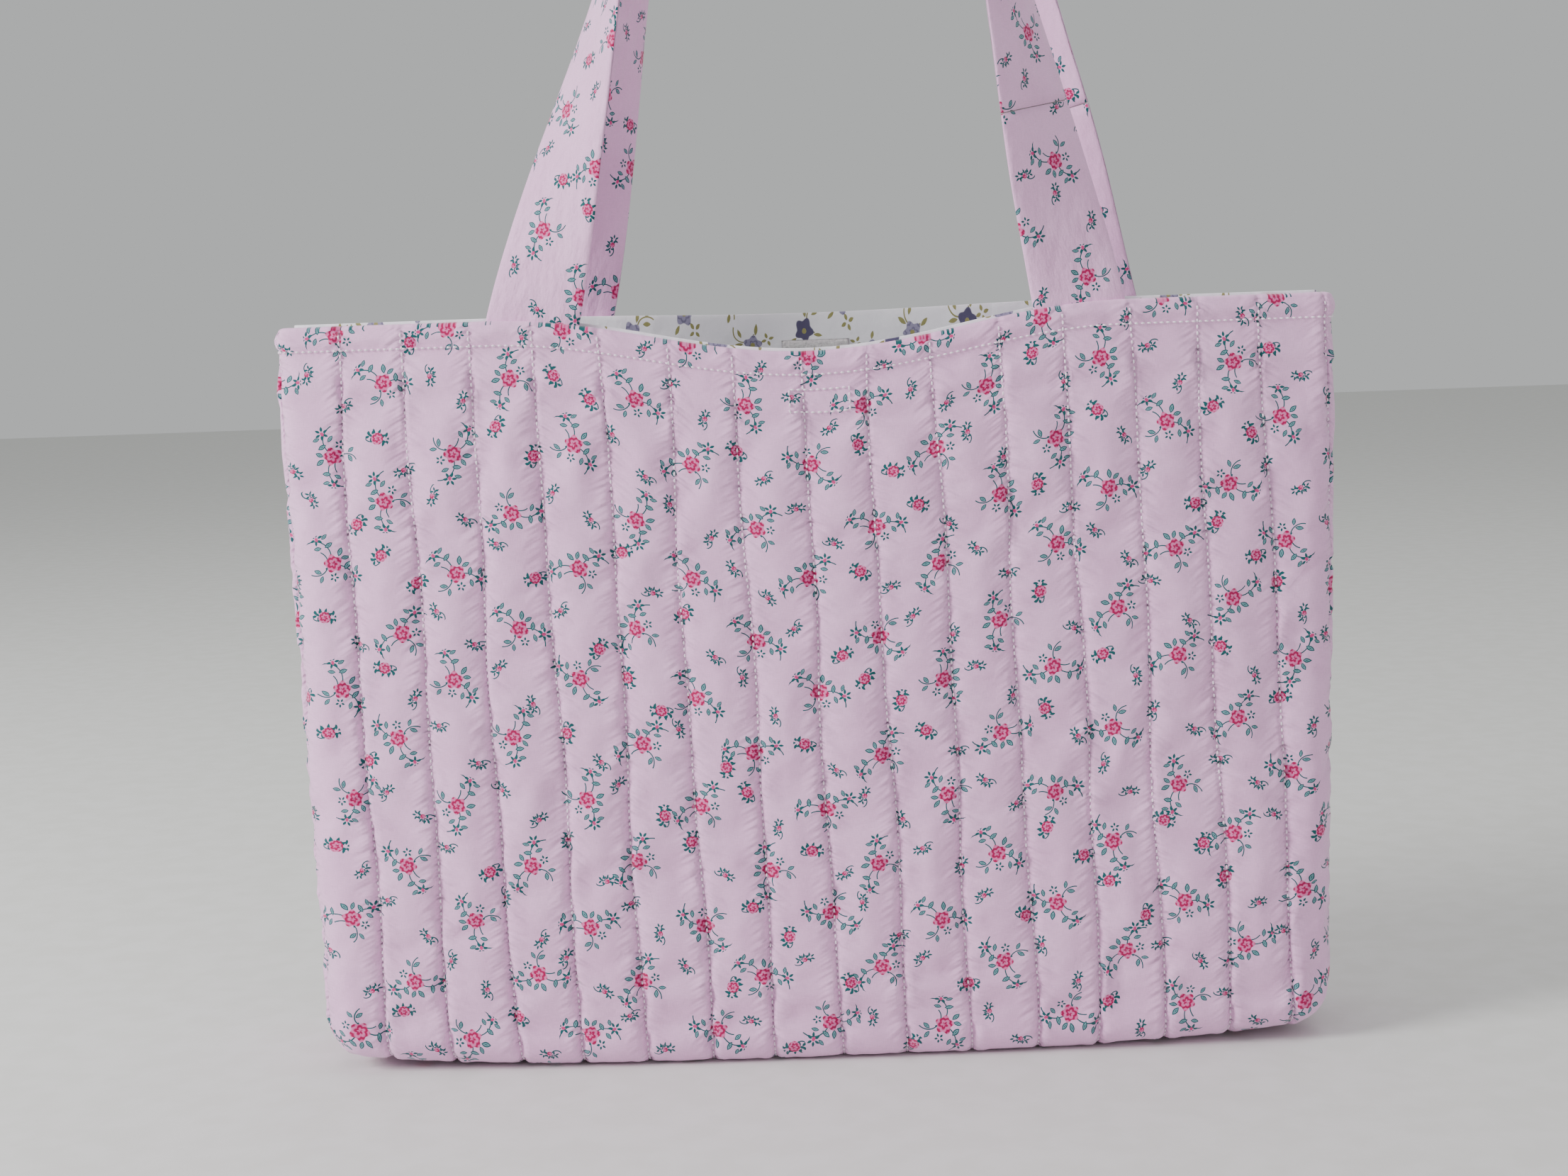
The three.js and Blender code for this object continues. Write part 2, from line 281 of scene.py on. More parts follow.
def drop_object(obj):
    mesh = obj.data
    bpy.data.objects.remove(obj)
    bpy.data.meshes.remove(mesh)


def inflate(points, side, held):
    """Swells a grid of cloth with Blender's Cloth, held where it is sewn, and returns the new points."""
    rows, count = points.shape[:2]
    faces = [face if side == BACK else face[::-1] for face in grid_faces(rows, count)]
    mesh = bpy.data.meshes.new("sim")
    mesh.from_pydata(points.reshape(-1, 3).tolist(), [], faces)
    obj = place_object("sim", mesh)
    group = obj.vertex_groups.new(name="held")
    weights = held.reshape(-1)
    for level in np.unique(weights[weights > 0]):
        group.add(np.nonzero(weights == level)[0].tolist(), float(level), "REPLACE")
    cloth = obj.modifiers.new("cloth", "CLOTH")
    cloth.settings.quality = 6
    cloth.settings.mass = 0.2
    cloth.settings.tension_stiffness = 30
    cloth.settings.compression_stiffness = 30
    cloth.settings.shear_stiffness = 12
    cloth.settings.bending_stiffness = 0.6
    cloth.settings.vertex_group_mass = "held"
    cloth.settings.use_pressure = True
    cloth.settings.uniform_pressure_force = SIM_PRESSURE
    cloth.settings.shrink_min = -SIM_SLACK
    cloth.settings.effector_weights.gravity = 0
    cloth.collision_settings.use_collision = False
    cloth.point_cache.frame_start = 1
    cloth.point_cache.frame_end = SIM_FRAMES
    scene = bpy.context.scene
    for step in range(1, SIM_FRAMES + 1):
        scene.frame_set(step)
    shape = obj.evaluated_get(bpy.context.evaluated_depsgraph_get()).to_mesh()
    swollen = np.empty(len(shape.vertices) * 3)
    shape.vertices.foreach_get("co", swollen)
    scene.frame_set(1)
    drop_object(obj)
    swollen = swollen.reshape(points.shape)
    move = swollen - points
    length = np.linalg.norm(move, axis=-1, keepdims=True)
    return points + move * np.minimum(1, SIM_CAP / np.maximum(length, 1e-9))


# ---- Meshes ----
def grid_faces(rows, count, start=0):
    faces = []
    for i in range(rows - 1):
        for j in range(count - 1):
            a = start + i * count + j
            faces.append((a, a + 1, a + 1 + count, a + count))
    return faces


def ring_faces(rings, around, start=0):
    """Faces round a tube, between rings of points that each close on themselves."""
    faces = []
    for ring in range(rings - 1):
        for corner in range(around):
            a = start + ring * around + corner
            b = start + ring * around + (corner + 1) % around
            faces.append((a, b, b + around, a + around))
    return faces


def add_piece(name, vertices, faces, material, cloth=None):
    """A shown, smooth-shaded piece. cloth holds each vertex's place on its flat fabric, in metres."""
    mesh = bpy.data.meshes.new(name)
    mesh.from_pydata([tuple(v) for v in vertices], [], faces)
    mesh.polygons.foreach_set("use_smooth", [True] * len(mesh.polygons))
    if cloth is not None:
        layer = mesh.uv_layers.new(name="Cloth")
        corners = np.empty(len(mesh.loops), dtype=np.int32)
        mesh.loops.foreach_get("vertex_index", corners)
        layer.data.foreach_set("uv", np.asarray(cloth, dtype=np.float32)[corners].reshape(-1))
    mesh.materials.append(material)
    mesh.validate()
    return place_object(name, mesh)


def face_outward(obj):
    """Turns a closed mesh's faces so that they point out of it."""
    work = bmesh.new()
    work.from_mesh(obj.data)
    bmesh.ops.recalc_face_normals(work, faces=work.faces)
    work.to_mesh(obj.data)
    work.free()
    return obj


def closed_shell(name, outside, inside, cloth, material):
    """One closed body between two grids with the same columns: a strip up the outside, over the top edge and
    down the inside, closed at both seams and under the base."""
    rows, count = outside.shape[:2]
    strip = np.concatenate([outside[::-1], inside], axis=0)
    cloth_strip = np.concatenate([cloth[::-1], cloth], axis=0)
    total = strip.shape[0]
    faces = grid_faces(total, count)
    for i in range(rows - 1):
        low, high = i * count, (i + 1) * count
        far_low, far_high = (total - 1 - i) * count, (total - 2 - i) * count
        for end in (0, count - 1):
            faces.append((low + end, high + end, far_high + end, far_low + end))
    last = (total - 1) * count
    for j in range(count - 1):
        faces.append((j, j + 1, last + j + 1, last + j))
    obj = add_piece(name, strip.reshape(-1, 3), faces, material, cloth_strip.reshape(-1, 2))
    return face_outward(obj)


# ---- Shader helpers ----
class Paint:
    """Builds one material's nodes. Values can be plain numbers or other nodes' outputs."""

    def __init__(self, name):
        self.material = bpy.data.materials.new(name)
        self.material.use_nodes = True
        self.tree = self.material.node_tree
        self.tree.nodes.clear()

    def node(self, kind, inputs=(), **settings):
        made = self.tree.nodes.new(kind)
        for key, value in settings.items():
            setattr(made, key, value)
        for key, value in dict(inputs).items():
            self.feed(made.inputs[key], value)
        return made

    def feed(self, socket, value):
        if isinstance(value, bpy.types.NodeSocket):
            self.tree.links.new(value, socket)
        else:
            socket.default_value = value

    def math(self, operation, *values, clamp=False):
        return self.node("ShaderNodeMath", enumerate(values), operation=operation, use_clamp=clamp).outputs[0]

    def vector(self, operation, *values):
        made = self.node("ShaderNodeVectorMath", enumerate(values), operation=operation)
        return made.outputs["Value" if operation in ("LENGTH", "DOT_PRODUCT", "DISTANCE") else "Vector"]

    def split(self, vector):
        made = self.node("ShaderNodeSeparateXYZ", {0: vector})
        return made.outputs[0], made.outputs[1]

    def join(self, x, y):
        return self.node("ShaderNodeCombineXYZ", {0: x, 1: y}).outputs[0]

    def place(self, vector, centre, size, angle=0.0):
        """The vector seen from a spot on the cloth, moved, turned and scaled so the shape's edge is at 1."""
        inputs = {0: vector, 1: (*centre, 0), 2: (0, 0, math.radians(angle)), 3: (*size, 1)}
        return self.node("ShaderNodeMapping", inputs, vector_type="TEXTURE").outputs[0]

    def below(self, value, limit, soft=0.0):
        """1 where the value is under the limit, else 0."""
        if not soft:
            return self.math("LESS_THAN", value, limit)
        return self.ramp(value, limit - soft, limit + soft, 1, 0)

    def ramp(self, value, low, high, start=0.0, end=1.0):
        inputs = {"Value": value, "From Min": low, "From Max": high, "To Min": start, "To Max": end}
        return self.node("ShaderNodeMapRange", inputs).outputs[0]

    def mix(self, factor, first, second):
        """The first colour where the factor is 0, the second where it is 1."""
        made = self.node("ShaderNodeMix", {0: factor, 6: first, 7: second}, data_type="RGBA")
        return made.outputs[2]

    def noise(self, vector, scale, detail=2.0, roughness=0.5):
        inputs = {"Vector": vector, "Scale": scale, "Detail": detail, "Roughness": roughness}
        return self.node("ShaderNodeTexNoise", inputs).outputs["Fac"]

    def hashed(self, vector):
        node = self.node("ShaderNodeTexWhiteNoise", {"Vector": vector}, noise_dimensions="3D")
        return node.outputs["Color"]

    def scaled(self, vector, factor):
        inputs = {"Vector": vector, "Scale": factor}
        return self.node("ShaderNodeVectorMath", inputs, operation="SCALE").outputs[0]

    def turned(self, vector, angle):
        inputs = {"Vector": vector, "Angle": angle}
        return self.node("ShaderNodeVectorRotate", inputs, rotation_type="Z_AXIS").outputs[0]

    def cloth_mm(self, offset=(0, 0)):
        """The place on the flat cloth, in millimetres."""
        place = self.node("ShaderNodeUVMap", uv_map="Cloth").outputs[0]
        return self.vector("ADD", self.scaled(place, 1000), (*offset, 0))

    def attribute(self, name):
        return self.node("ShaderNodeAttribute", attribute_name=name).outputs["Fac"]

    def bump(self, height, distance, strength=1.0, normal=None):
        inputs = {"Height": height, "Distance": distance, "Strength": strength}
        if normal is not None:
            inputs["Normal"] = normal
        return self.node("ShaderNodeBump", inputs).outputs[0]

    def finish(self, color, roughness, normal=None, sheen=0.0, soft=0.45):
        """Closes the material. Cloth has a sheen and a weak gloss; soft is the sheen's roughness."""
        inputs = {"Base Color": color, "Roughness": roughness}
        if sheen:
            inputs.update({"Sheen Weight": sheen, "Sheen Roughness": soft, "Specular IOR Level": 0.25})
        if normal is not None:
            inputs["Normal"] = normal
        shader = self.node("ShaderNodeBsdfPrincipled", inputs)
        output = self.node("ShaderNodeOutputMaterial")
        self.tree.links.new(shader.outputs[0], output.inputs[0])
        return self.material


def srgb(red, green, blue):
    """A colour given as 0 to 255 screen values."""
    def linear(value):
        value /= 255
        return value / 12.92 if value <= 0.04045 else ((value + 0.055) / 1.055) ** 2.4
    return (linear(red), linear(green), linear(blue), 1)


# ---- The rose print ----
PINK = srgb(246, 195, 236)
PINK_SHADE = srgb(240, 187, 229)
TEAL = srgb(14, 92, 96)
TEAL_LIGHT = srgb(120, 162, 172)
ROSE_DARK = srgb(172, 18, 84)
ROSE = srgb(212, 66, 132)
ROSE_LIGHT = srgb(228, 128, 178)
REPEAT = (46, 46)  # millimetres between sprays in a row, and between rows


def lattice(paint, cloth, shift, jitter, repeat=REPEAT):
    """Coordinates round the nearest motif of a half-drop repeat, each turned its own way, and a chance."""
    width, height = repeat
    place = paint.vector("SUBTRACT", cloth, (*shift, 0))
    along = paint.vector("DOT_PRODUCT", place, (1 / width, 1 / height, 0))
    other = paint.vector("DOT_PRODUCT", place, (1 / width, -1 / height, 0))
    cell = paint.vector("FLOOR", paint.vector("ADD", paint.join(along, other), (0.5, 0.5, 0)))
    centre = paint.join(
        paint.vector("DOT_PRODUCT", cell, (width / 2, width / 2, 0)),
        paint.vector("DOT_PRODUCT", cell, (height / 2, -height / 2, 0)),
    )
    chance = paint.hashed(paint.vector("ADD", cell, (*shift, 3.7)))
    moved = paint.vector("MULTIPLY", paint.vector("SUBTRACT", chance, (0.5, 0.5, 0.5)), (jitter, jitter, 0))
    local = paint.vector("SUBTRACT", paint.vector("SUBTRACT", place, centre), moved)
    parts = paint.node("ShaderNodeSeparateXYZ", {0: chance}).outputs
    angle = paint.math("MULTIPLY", parts[2], 2 * math.pi)
    return paint.vector("MULTIPLY", paint.turned(local, angle), (1, 1, 0)), parts[0]


def smallest(paint, values):
    total = values[0]
    for value in values[1:]:
        total = paint.math("MINIMUM", total, value)
    return total


def leaf(paint, place, centre, length, width, angle):
    """A pointed leaf: under 1 inside it, 0 along its middle."""
    u, v = paint.split(paint.place(place, centre, (length / 2, width / 2), angle))
    return paint.math("MULTIPLY_ADD", u, u, paint.math("ABSOLUTE", v))


def stem(paint, place, centre, radius, thickness, angle):
    """Half of a thin ring, on one side of a line through its centre: under 1 inside it."""
    local = paint.place(place, centre, (1, 1), angle)
    off = paint.math("ABSOLUTE", paint.math("SUBTRACT", paint.vector("LENGTH", local), radius))
    behind = paint.math("MULTIPLY", paint.math("LESS_THAN", paint.split(local)[1], 0), 100)
    return paint.math("MULTIPLY_ADD", off, 2 / thickness, behind)


def fan(paint, place, centre, spokes, reach, length, width, turn=0.0, half=False):
    """Short dashes set round a point like the spokes of a wheel, or half a wheel: under 1 inside them."""
    local = paint.place(place, centre, (1, 1), turn)
    x, y = paint.split(local)
    step = 2 * math.pi / spokes
    angle = paint.math("ARCTAN2", y, x)
    folded = paint.math("SUBTRACT", paint.math("FLOORED_MODULO", angle, step), step / 2)
    radius = paint.vector("LENGTH", local)
    u = paint.math("DIVIDE", paint.math("SUBTRACT", radius, reach), length / 2)
    v = paint.math("DIVIDE", paint.math("MULTIPLY", folded, radius), width / 2)
    marks = paint.math("MULTIPLY_ADD", u, u, paint.math("ABSOLUTE", v))
    if half:
        marks = paint.math("MULTIPLY_ADD", paint.math("LESS_THAN", y, -0.3), 100, marks)
    return marks


def rose(paint, place, radius, lobes):
    """A rose seen from above: how far inside it a point is (under 1), and the strokes of its petals."""
    x, y = paint.split(place)
    angle = paint.math("ARCTAN2", y, x)
    distance = paint.math("DIVIDE", paint.vector("LENGTH", place), radius)
    wave = paint.math("COSINE", paint.math("MULTIPLY", angle, lobes))
    inside = paint.math("MULTIPLY_ADD", wave, -0.13, distance)
    petals = paint.math("ABSOLUTE", paint.math("SINE", paint.math("MULTIPLY", angle, lobes / 2)))
    sweep = paint.math("MULTIPLY_ADD", petals, -2.4, paint.math("MULTIPLY", distance, 11))
    strokes = paint.math("SINE", paint.math("ADD", sweep, angle))
    return inside, strokes


def paint_rose(paint, color, inside, strokes):
    petals = paint.mix(paint.ramp(strokes, -0.75, 0.1), ROSE_LIGHT, ROSE)
    petals = paint.mix(paint.ramp(strokes, 0.25, 0.6), petals, ROSE_DARK)
    return paint.mix(paint.below(inside, 0.87, 0.03), color, petals)


def paint_leaves(paint, color, leaves):
    """Leaves drawn with a dark outline and vein, and paler inside."""
    pale = paint.math("MULTIPLY", paint.math("GREATER_THAN", leaves, 0.16), paint.below(leaves, 0.52))
    drawn = paint.mix(pale, TEAL, TEAL_LIGHT)
    return paint.mix(paint.below(leaves, 1, 0.08), color, drawn)


def paint_dark(paint, color, marks, ink):
    return paint.mix(paint.below(marks, 1, 0.1), color, ink)


def only_near(paint, marks, place, reach):
    """The marks within reach of the motif's middle. Further out they are pushed far above 1."""
    near = paint.below(paint.vector("LENGTH", place), reach)
    return paint.math("DIVIDE", marks, paint.math("MAXIMUM", near, 0.001))


def spray(paint, color, cloth):
    """The large motif: a rose, two budding branches, leaves round the rose and a stalk."""
    place, _ = lattice(paint, cloth, (0, 0), 6)
    x, y = paint.split(place)
    side = paint.math("SIGN", x)
    slope = paint.math("MULTIPLY_ADD", side, 0.9, y)
    skew = paint.math("MULTIPLY_ADD", side, 0.7, paint.math("ABSOLUTE", x))
    branch = paint.join(skew, slope)
    leaves = smallest(paint, [
        leaf(paint, branch, (5.1, 3.7), 3.6, 1.8, 105),
        leaf(paint, branch, (7.4, -0.2), 3.2, 1.6, -50),
        leaf(paint, branch, (8.4, 5.1), 3.0, 1.5, 95),
        leaf(paint, place, (-0.9, 5.3), 3.8, 1.9, 110),
        leaf(paint, place, (1.9, 4.7), 3.3, 1.7, 50),
        leaf(paint, place, (-2.6, -6.4), 3.4, 1.7, 200),
        leaf(paint, place, (0.4, -7.7), 3.1, 1.5, -70),
    ])
    stems = smallest(paint, [
        stem(paint, branch, (6.1, -3.2), 6.0, 0.45, 12),
        stem(paint, place, (-5.2, -4.3), 4.8, 0.45, -75),
        fan(paint, branch, (10.2, 2.4), 6, 1.7, 2.1, 1.0, 20),
        fan(paint, place, (3.6, -3.9), 5, 1.2, 1.4, 0.8),
    ])
    color = paint_dark(paint, color, only_near(paint, stems, place, 12.5), TEAL)
    color = paint_leaves(paint, color, leaves)
    bud = paint.vector("LENGTH", paint.place(branch, (10.0, 2.3), (0.8, 0.6), 20))
    color = paint_dark(paint, color, bud, ROSE)
    return paint_rose(paint, color, *rose(paint, place, 3.7, 5))


def sprig(paint, color, cloth, shift):
    """A small motif: a single rose with tiny leaves, or a bud in a fan of dashes with a curled stalk."""
    place, chance = lattice(paint, cloth, shift, 5)
    is_rose = paint.math("GREATER_THAN", chance, 0.7)
    grown = paint.ramp(is_rose, 0, 1, 0.33, 0.8)
    small = paint.scaled(place, paint.ramp(is_rose, 0, 1, 1.0, 0.72))
    marks = smallest(paint, [
        fan(paint, small, (0, -0.4), 9, 2.1, 2.1, 0.75, 25, half=True),
        fan(paint, small, (1.2, 1.8), 6, 1.3, 1.7, 0.75, 40),
        fan(paint, small, (-1.6, -1.1), 5, 1.2, 1.6, 0.75, 10),
        stem(paint, place, (-2.4, -1.6), 2.4, 0.45, -100),
    ])
    color = paint_dark(paint, color, only_near(paint, marks, place, 4.6), TEAL)
    blob = paint.math("DIVIDE", paint.vector("LENGTH", place), paint.math("MULTIPLY", grown, 2.9))
    inside, strokes = rose(paint, place, 2.9, 6)
    inside = paint.math("MAXIMUM", inside, paint.math("MULTIPLY", blob, 0.87))
    return paint_rose(paint, color, inside, strokes)


def weave(paint, cloth):
    """Plain-weave cotton: fine threads with the odd thicker one, from 0 to 1."""
    across = paint.noise(paint.vector("MULTIPLY", cloth, (0.35, 5.0, 1)), 1.0, 1)
    up = paint.noise(paint.vector("MULTIPLY", cloth, (5.0, 0.35, 1)), 1.0, 1)
    return paint.math("MULTIPLY", paint.math("ADD", across, up), 0.5)


def rose_cotton(name, quilted, offset=(0, 0)):
    """The printed pink cotton. The quilted one also puckers along its stitch lines, and is painted darker
    right beside them as painted shade in the creases.
    """
    paint = Paint(name)
    cloth = paint.cloth_mm(offset)
    threads = weave(paint, cloth)
    mottle = paint.noise(cloth, 0.05, 3)
    color = paint.mix(paint.ramp(mottle, 0.35, 0.65), PINK, PINK_SHADE)
    color = spray(paint, color, cloth)
    color = sprig(paint, color, cloth, (30, -6))
    color = sprig(paint, color, cloth, (16, 6))
    color = paint.scaled(color, paint.ramp(threads, 0.3, 0.7, 0.9, 1.06))
    if quilted:
        # Painted shade: the colour darkens within about 1.6 mm of each stitch line, where the crease would
        # lie in shadow.
        color = paint.scaled(color, paint.ramp(paint.attribute("FromLine"), 0.2, 1.6, 0.86, 1))
    fibres = paint.bump(threads, 0.00012)
    creases = paint.noise(paint.vector("MULTIPLY", cloth, (0.5, 1.0, 1)), 0.16, 3)
    normal = paint.bump(creases, 0.0008 if quilted else 0.0025, 0.6, fibres)
    if quilted:
        away = paint.attribute("FromLine")
        near = paint.ramp(away, 0, 9, 1, 0)
        x, y = paint.split(cloth)
        slanted = paint.join(paint.math("MULTIPLY", x, 0.07), paint.math("MULTIPLY_ADD", away, 0.55, y))
        pucker = paint.noise(paint.vector("MULTIPLY", slanted, (1, 0.3, 1)), 1.0, 1)
        gathered = paint.math("MULTIPLY", paint.math("SUBTRACT", pucker, 0.5), near)
        normal = paint.bump(gathered, 0.0035, 0.9, normal)
        holes = paint.math("SINE", paint.math("MULTIPLY", y, 2 * math.pi / 2.5))
        dimple = paint.math("MULTIPLY", holes, paint.ramp(away, 0, 1.6, 1, 0))
        normal = paint.bump(dimple, 0.0003, 0.8, normal)
    return paint.finish(color, paint.ramp(threads, 0.3, 0.7, 0.8, 0.9), normal, sheen=0.35)


# ---- The other materials ----
LINING_WHITE = srgb(248, 248, 252)
LILAC = srgb(150, 146, 172)
LILAC_DARK = srgb(88, 84, 112)
OLIVE = srgb(150, 148, 96)
LINING_REPEAT = (30, 27)
LINING_TILT = 0.4


def lining_cotton():
    """White cotton with scattered grey-lilac flowers and olive leaves."""
    paint = Paint("lining_cotton")
    cloth = paint.cloth_mm((7, 11))
    threads = weave(paint, cloth)
    place, chance = lattice(paint, paint.turned(cloth, LINING_TILT), (0, 0), 7, repeat=LINING_REPEAT)
    leaves = smallest(paint, [
        leaf(paint, place, (5.2, 2.2), 3.8, 1.4, 35),
        leaf(paint, place, (6.6, -1.8), 3.2, 1.3, -40),
        leaf(paint, place, (-5.0, 2.6), 3.4, 1.3, 150),
        leaf(paint, place, (1.0, -5.6), 3.6, 1.4, -75),
        stem(paint, place, (5.4, -3.4), 4.2, 0.5, 10),
        fan(paint, place, (-4.6, -4.4), 4, 1.6, 2.2, 1.2),
    ])
    color = paint.mix(paint.below(leaves, 1, 0.1), LINING_WHITE, OLIVE)
    inside, strokes = rose(paint, place, 3.9, 5)
    petal = paint.mix(paint.math("GREATER_THAN", chance, 0.72), LILAC, LILAC_DARK)
    petal = paint.mix(paint.ramp(strokes, 0.3, 0.8, 0, 0.6), petal, LILAC_DARK)
    color = paint.mix(paint.below(inside, 0.87, 0.04), color, petal)
    heart = paint.below(paint.vector("LENGTH", place), 0.9)
    color = paint.mix(heart, color, OLIVE)
    normal = paint.bump(threads, 0.0001)
    normal = paint.bump(paint.noise(cloth, 0.12, 3), 0.0012, 0.6, normal)
    return paint.finish(color, 0.85, normal, sheen=0.3)


def fibre_material(name, light, dark, scale, depth):
    """A plain woven or fibrous material seen in object space, between two shades."""
    paint = Paint(name)
    place = paint.node("ShaderNodeTexCoord").outputs["Object"]
    grain = paint.noise(place, scale, 4, 0.65)
    color = paint.mix(paint.ramp(grain, 0.35, 0.65), dark, light)
    normal = paint.bump(grain, depth)
    return paint.finish(color, paint.ramp(grain, 0.3, 0.7, 0.7, 0.9), normal, sheen=0.3, soft=0.5)


def paper_floor():
    paint = Paint("studio_floor")
    place = paint.node("ShaderNodeTexCoord").outputs["Object"]
    grain = paint.noise(place, 60, 3)
    color = paint.mix(paint.ramp(grain, 0.4, 0.6), srgb(222, 222, 218), srgb(226, 226, 223))
    return paint.finish(color, 0.8, paint.bump(grain, 0.0002, 0.3))


# ---- The quilted outer ----
def undulation(points, cloth, seed):
    """Soft hollows and swells of a hanging panel, always outward, none at the rim or the seams."""
    down = -cloth[..., 1]
    reach = np.abs(cloth[..., 0]) / (RIM_HALF_WIDTH + 10 * MM)
    swell = 0.5 + 0.5 * waves(points, 90 * MM, seed)
    inside = fade(down, 5 * MM, 70 * MM) * (1 - fade(down, WALL - 20 * MM, WALL))
    inside = inside * (1 - fade(reach, 0.7, 0.97))
    return 3.5 * MM * swell * inside


def sewn_weights(rows, count):
    """Where the cloth is held: every stitch line, the rim, the hem's stitching, the seams and the base."""
    held = np.zeros((rows, count))
    held[:, LINE_COLUMNS] = 1
    held[:, [0, -1]] = 1
    held[0] = 1
    held[np.argmin(np.abs(ROWS - HEM))] = 1
    held[ROWS > UNDER_START - 1 * MM] = 1
    return held


def pucker_height(points, phase, cloth):
    """Short wrinkles gathered along the stitch lines and the side seams."""
    away = np.minimum(phase, 1 - phase) * LINE_SPACING
    beside_line = fade(away, 0, 1.5 * MM) * (1 - fade(away, 2.5 * MM, 8 * MM))
    low = fade(-cloth[..., 1], HEM, BAG_HEIGHT)
    at_sides = fade(np.abs(cloth[..., 0]), RIM_HALF_WIDTH - 40 * MM, RIM_HALF_WIDTH)
    size = (0.3 + 0.5 * low + 0.5 * at_sides) * MM
    return size * beside_line * (1 + waves(points * (0.35, 0.35, 1), 5.5 * MM, 9))


def quilted_surface(side):
    """The outer's swollen surface, the plain surface behind it, and where each point lies on the cloth."""
    plain, outward, phase, cloth = panel_grid(side)
    swell = undulation(plain, cloth, seed=2 + side)
    body = plain + outward * swell[..., None]
    puffed = body + outward * puff_height(plain, phase, cloth, side)[..., None]
    held = sewn_weights(*puffed.shape[:2])
    puffed = inflate(puffed, side, held)
    puffed = puffed + outward * pucker_height(puffed, phase, cloth)[..., None]
    puffed[..., 2] = np.maximum(puffed[..., 2], 0.3 * MM)
    return puffed, plain, outward, phase, cloth


def hem_arc(outside, inside):
    """Rows that carry a surface over the top edge, from the middle of the hem to its outer or inner face."""
    middle = (outside[0] + inside[0]) / 2
    half = (outside[0] - inside[0]) / 2
    rise = np.linalg.norm(half, axis=-1)[:, None] * np.array((0, 0, 0.5))
    turns = np.linspace(math.pi / 2, 0, 6)[:-1]
    outer_rows = [middle + half * math.cos(turn) + rise * math.sin(turn) for turn in turns]
    inner_rows = [middle - half * math.cos(turn) + rise * math.sin(turn) for turn in turns]
    return np.array(outer_rows), np.array(inner_rows)


def quilted_panel(side, material):
    puffed, plain, outward, phase, cloth = quilted_surface(side)
    down = -cloth[..., 1:2]
    inset = lerp(HEM_INSIDE, OUTER_INSIDE, fade(down, 1.5 * MM, 2.2 * MM))
    inside = plain - outward * inset
    keep_to_side(inside, side)
    over_out, over_in = hem_arc(puffed, inside)
    outside_grid = np.concatenate([over_out, puffed])
    inside_grid = np.concatenate([over_in, inside])
    hem_rows = len(over_out)
    cloth_grid = np.concatenate([np.repeat(cloth[:1], hem_rows, axis=0), cloth])
    cloth_grid = cloth_grid + CUT_FROM[side]
    panel = closed_shell(f"quilted_{SIDES[side]}", outside_grid, inside_grid, cloth_grid, material)
    store_line_distance(panel, phase)
    return panel, puffed, outward, cloth


def store_line_distance(panel, phase):
    """Keeps each vertex's distance from its nearest stitch line, in millimetres, for the material."""
    away = np.minimum(phase[0], 1 - phase[0]) * LINE_SPACING / MM
    rows = len(panel.data.vertices) // len(away)
    layer = panel.data.attributes.new("FromLine", "FLOAT", "POINT")
    layer.data.foreach_set("value", np.tile(away, rows).astype(np.float32))


# ---- The lining ----
def lining_panel(side, material):
    plain, outward, _, cloth = panel_grid(side)
    keep = slice(None, None, 3)
    plain, outward, cloth = plain[:, keep], outward[:, keep], cloth[:, keep]
    down = -cloth[..., 1]
    slack = waves(plain, 45 * MM, 5 + side) + 0.5 * waves(plain, 14 * MM, 6 + side)
    loose = (1.0 + slack) * 1.3 * MM * fade(down, HEM, 60 * MM) * (1 - fade(down, WALL - 30 * MM, WALL))
    rise = LINING_SHOW * (1 - fade(down, 0, 6 * MM))
    out = plain - outward * (LINING_OUTSIDE + 0 * down)[..., None]
    inner = plain - outward * (LINING_INSIDE + loose)[..., None]
    for grid in (out, inner):
        keep_to_side(grid, side)
        grid[..., 2] = np.maximum(grid[..., 2] + rise, LINING_INSIDE)
    over_out, over_in = hem_arc(out, inner)
    cloth_grid = np.concatenate([np.repeat(cloth[:1], len(over_out), axis=0), cloth]) + CUT_FROM[side]
    return closed_shell(f"lining_{SIDES[side]}_cloth", np.concatenate([over_out, out]),
                        np.concatenate([over_in, inner]), cloth_grid, material)


# ---- The wadding ----
WADDING_OUTSIDE = 1.5 * MM
WADDING_INSIDE = 5.4 * MM
WADDING_TOP = 3 * MM


def wadding_panel(side, material):
    """The sheet of wadding between outer and lining, cut thin behind each strap end."""
    plain, outward, _, cloth = panel_grid(side)
    below = slice(int(np.argmax(ROWS > WADDING_TOP)), None, 2)
    keep = slice(None, None, 2)
    plain, outward, cloth = plain[below, keep], outward[below, keep], cloth[below, keep]
    root = np.abs(np.abs(cloth[..., 0] - STRAP_SHIFT[side]) - STRAP_SPACING)
    behind_strap = (root < STRAP_WIDTH / 2 + 3 * MM) & (-cloth[..., 1] < STRAP_TAIL + 2 * MM)
    inset = np.where(behind_strap, WADDING_INSIDE - 0.2 * MM, WADDING_OUTSIDE)
    out = plain - outward * inset[..., None]
    inner = plain - outward * WADDING_INSIDE
    for grid in (out, inner):
        keep_to_side(grid, side)
    out[..., 2] = np.maximum(out[..., 2], WADDING_OUTSIDE)
    inner[..., 2] = np.maximum(inner[..., 2], WADDING_INSIDE)
    piece = closed_shell(f"wadding_{SIDES[side]}_sheet", out, inner, cloth, material)
    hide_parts(f"wadding_{SIDES[side]}")
    return piece


# ---- Threads ----
STITCH_RINGS = ((-1.0, 0.2, -0.3), (-0.6, 0.9, 0.8), (0.0, 1.0, 1.2), (0.6, 0.9, 0.8), (1.0, 0.2, -0.3))
THREAD_RADIUS = 0.44 * MM
STITCH_SIDES = 5


